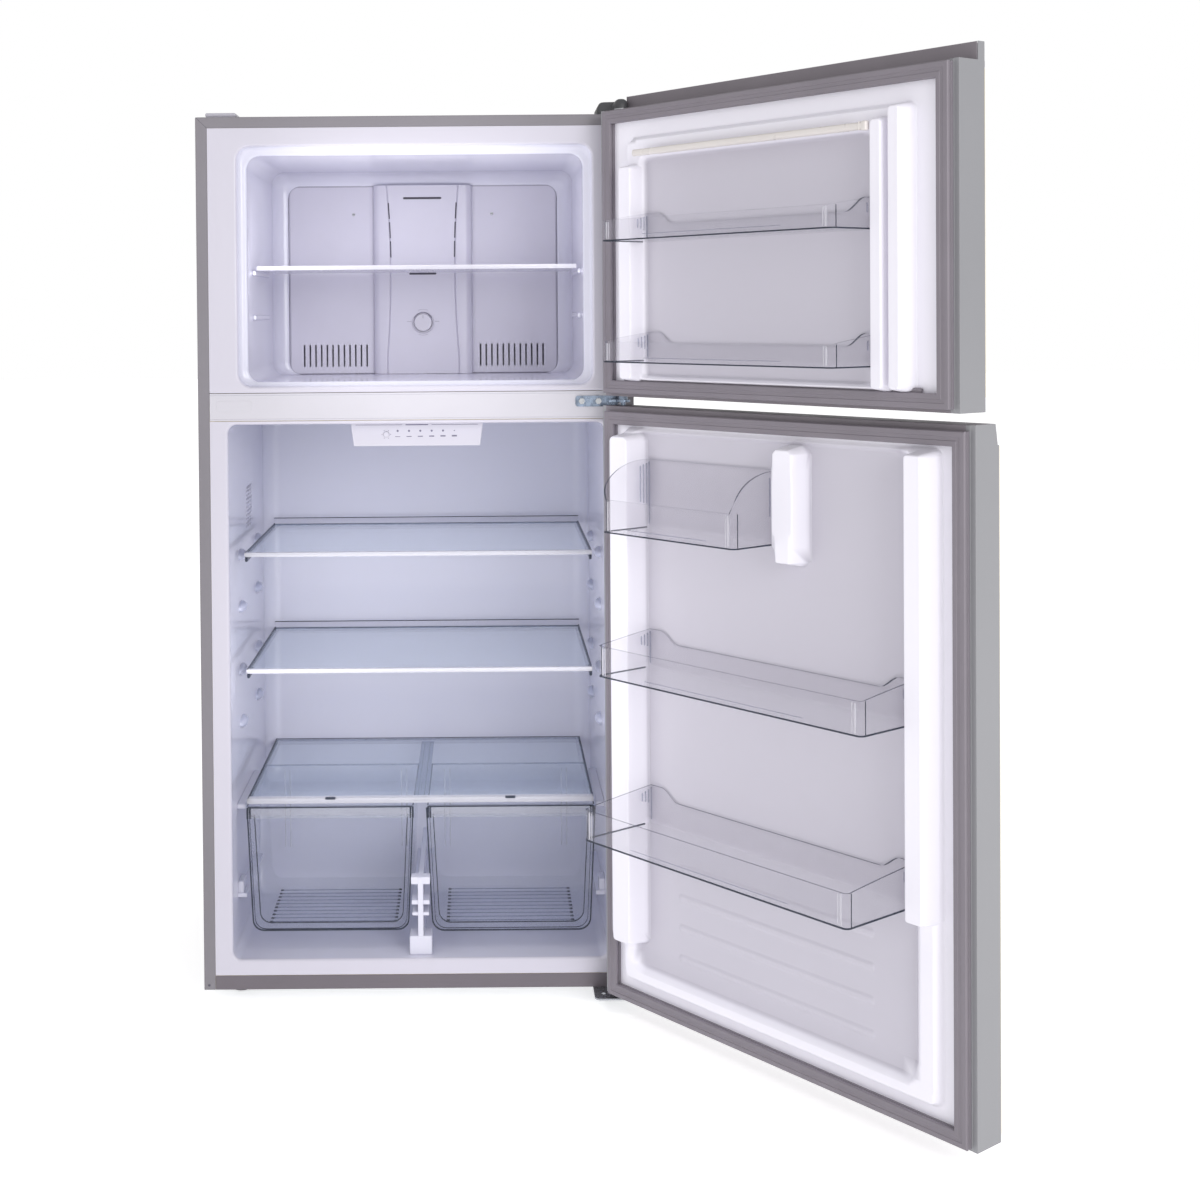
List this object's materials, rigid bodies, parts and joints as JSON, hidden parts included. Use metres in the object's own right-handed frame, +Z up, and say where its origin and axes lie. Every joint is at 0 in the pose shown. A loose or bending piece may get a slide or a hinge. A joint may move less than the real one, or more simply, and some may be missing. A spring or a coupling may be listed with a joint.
{
  "type": "top freezer refrigerator",
  "caption": "Top freezer refrigerator with separately hinged freezer and fridge doors, glass shelves, clear drawers, door bins, levelling feet and rear rollers.",
  "frame": {"origin": "on the floor, on the cabinet's centre line, in the plane of the cabinet's front frame", "axes": "+Z up, the cabinet's front faces -Y, +X to the hinge side of both doors"},
  "size_m": [1.2203, 1.2726, 1.581],
  "materials": {
    "door_steel": "satin light grey steel door skins",
    "cabinet_paint": "mauve grey textured paint",
    "galvanised": "plain galvanised sheet",
    "hinge_grey": "light grey painted hinge plate",
    "hinge_zinc": "blue passivated zinc plate",
    "insulation": "rigid insulating foam, hidden",
    "liner_white": "glossy white formed liner",
    "white_plastic": "moulded white plastic",
    "grey_plastic": "mauve grey door end caps",
    "dark_plastic": "dark grey plastic",
    "gasket_grey": "mauve grey flexible gasket",
    "cream_plastic": "cream moulded bar",
    "clear_plastic": "clear crystal plastic",
    "shelf_glass": "tempered glass plate",
    "black_paint": "black enamel",
    "coil_aluminium": "bare finned aluminium",
    "black_rubber": "black rubber",
    "lens_white": "milky lamp lens"
  },
  "bodies": {
    "cabinet": {"cabinet_shell": "cabinet_paint", "base_rail": "cabinet_paint", "back_panel": "galvanised", "base_plate": "galvanised", "compressor_tray": "galvanised", "cabinet_foam": "insulation", "freezer_liner": "liner_white", "fridge_liner": "liner_white", "divider_rail": "white_plastic", "rail_plug": "white_plastic", "hinge_hole_cap": "white_plastic", "evaporator_cover": "white_plastic", "air_duct_cover": "white_plastic", "evaporator_coil": "coil_aluminium", "fan_motor": "black_paint", "control_housing": "white_plastic", "light_lens": "lens_white", "crisper_cover_glass": "shelf_glass", "crisper_cover_frame": "clear_plastic", "crisper_guide": "white_plastic", "top_hinge": "galvanised", "top_hinge_cover": "dark_plastic", "middle_hinge": "hinge_zinc", "bottom_hinge": "hinge_grey", "hinge_screws": "galvanised", "compressor": "black_paint", "compressor_grommets": "black_rubber", "drain_pan": "dark_plastic"},
    "freezer_door": {"freezer_door_skin": "door_steel", "freezer_door_top_cap": "grey_plastic", "freezer_door_bottom_cap": "grey_plastic", "freezer_door_foam": "insulation", "freezer_door_liner": "liner_white", "freezer_door_gasket": "gasket_grey", "freezer_door_bar": "cream_plastic"},
    "fridge_door": {"fridge_door_skin": "door_steel", "fridge_door_top_cap": "grey_plastic", "fridge_door_bottom_cap": "grey_plastic", "fridge_door_foam": "insulation", "fridge_door_liner": "liner_white", "fridge_door_gasket": "gasket_grey"},
    "upper_freezer_bin": {"freezer_bin_upper": "clear_plastic"},
    "lower_freezer_bin": {"freezer_bin_lower": "clear_plastic"},
    "dairy_compartment": {"dairy_bin": "clear_plastic"},
    "middle_door_bin": {"door_bin_middle": "clear_plastic"},
    "lower_door_bin": {"door_bin_lower": "clear_plastic"},
    "freezer_rack": {"freezer_shelf": "white_plastic"},
    "upper_shelf": {"upper_shelf_glass": "shelf_glass", "upper_shelf_trim": "clear_plastic"},
    "lower_shelf": {"lower_shelf_glass": "shelf_glass", "lower_shelf_trim": "clear_plastic"},
    "left_drawer": {"left_crisper": "clear_plastic"},
    "right_drawer": {"right_crisper": "clear_plastic"},
    "knob": {"airflow_knob": "white_plastic"},
    "button": {"control_button": "white_plastic"},
    "fan": {"evaporator_fan": "dark_plastic"},
    "roller_left": {"left_roller": "dark_plastic"},
    "roller_right": {"right_roller": "dark_plastic"},
    "foot_left": {"left_foot": "dark_plastic"},
    "foot_right": {"right_foot": "dark_plastic"}
  },
  "joints": [
    {"name": "freezer_door_hinge", "type": "hinge", "parent": "cabinet", "child": "freezer_door", "pos_m": [0.358, -0.04, 1.3], "axis": [0, 0, 1], "range_deg": [-126, 8]},
    {"name": "fridge_door_hinge", "type": "hinge", "parent": "cabinet", "child": "fridge_door", "pos_m": [0.358, -0.04, 0.5], "axis": [0, 0, 1], "range_deg": [-128.5, 6]},
    {"name": "left_drawer_slide", "type": "slide", "parent": "cabinet", "child": "left_drawer", "axis": [0, -1, 0], "range_m": [0, 0.3]},
    {"name": "right_drawer_slide", "type": "slide", "parent": "cabinet", "child": "right_drawer", "axis": [0, -1, 0], "range_m": [0, 0.3]},
    {"name": "freezer_shelf_slide", "type": "slide", "parent": "cabinet", "child": "freezer_rack", "axis": [0, -1, 0], "range_m": [0, 0.25]},
    {"name": "upper_shelf_slide", "type": "slide", "parent": "cabinet", "child": "upper_shelf", "axis": [0, -1, 0], "range_m": [0, 0.25]},
    {"name": "lower_shelf_slide", "type": "slide", "parent": "cabinet", "child": "lower_shelf", "axis": [0, -1, 0], "range_m": [0, 0.25]},
    {"name": "upper_freezer_bin_lift", "type": "slide", "parent": "freezer_door", "child": "upper_freezer_bin", "axis": [0, 0, 1], "range_m": [0, 0.03]},
    {"name": "lower_freezer_bin_lift", "type": "slide", "parent": "freezer_door", "child": "lower_freezer_bin", "axis": [0, 0, 1], "range_m": [0, 0.03]},
    {"name": "dairy_compartment_lift", "type": "slide", "parent": "fridge_door", "child": "dairy_compartment", "axis": [0, 0, 1], "range_m": [0, 0.03]},
    {"name": "middle_door_bin_lift", "type": "slide", "parent": "fridge_door", "child": "middle_door_bin", "axis": [0, 0, 1], "range_m": [0, 0.03]},
    {"name": "lower_door_bin_lift", "type": "slide", "parent": "fridge_door", "child": "lower_door_bin", "axis": [0, 0, 1], "range_m": [0, 0.03]},
    {"name": "airflow_knob_turn", "type": "hinge", "parent": "cabinet", "child": "knob", "pos_m": [0, 0.41, 1.193], "axis": [0, 1, 0], "range_deg": [-135, 135]},
    {"name": "control_button_press", "type": "slide", "parent": "cabinet", "child": "button", "axis": [0, 1, 0], "range_m": [0, 0.003], "stiffness_N_per_m": 400, "springref_m": -0.001},
    {"name": "evaporator_fan_spin", "type": "hinge", "parent": "cabinet", "child": "fan", "pos_m": [0, 0.454, 1.39], "axis": [0, 1, 0], "continuous": true},
    {"name": "left_roller_spin", "type": "hinge", "parent": "cabinet", "child": "roller_left", "pos_m": [-0.325, 0.56, 0.013], "axis": [1, 0, 0], "continuous": true},
    {"name": "right_roller_spin", "type": "hinge", "parent": "cabinet", "child": "roller_right", "pos_m": [0.325, 0.56, 0.013], "axis": [1, 0, 0], "continuous": true},
    {"name": "left_foot_turn", "type": "hinge", "parent": "cabinet", "child": "foot_left", "pos_m": [-0.325, 0.085, 0.01], "axis": [0, 0, 1], "continuous": true},
    {"name": "right_foot_turn", "type": "hinge", "parent": "cabinet", "child": "foot_right", "pos_m": [0.325, 0.085, 0.01], "axis": [0, 0, 1], "continuous": true}
  ]
}
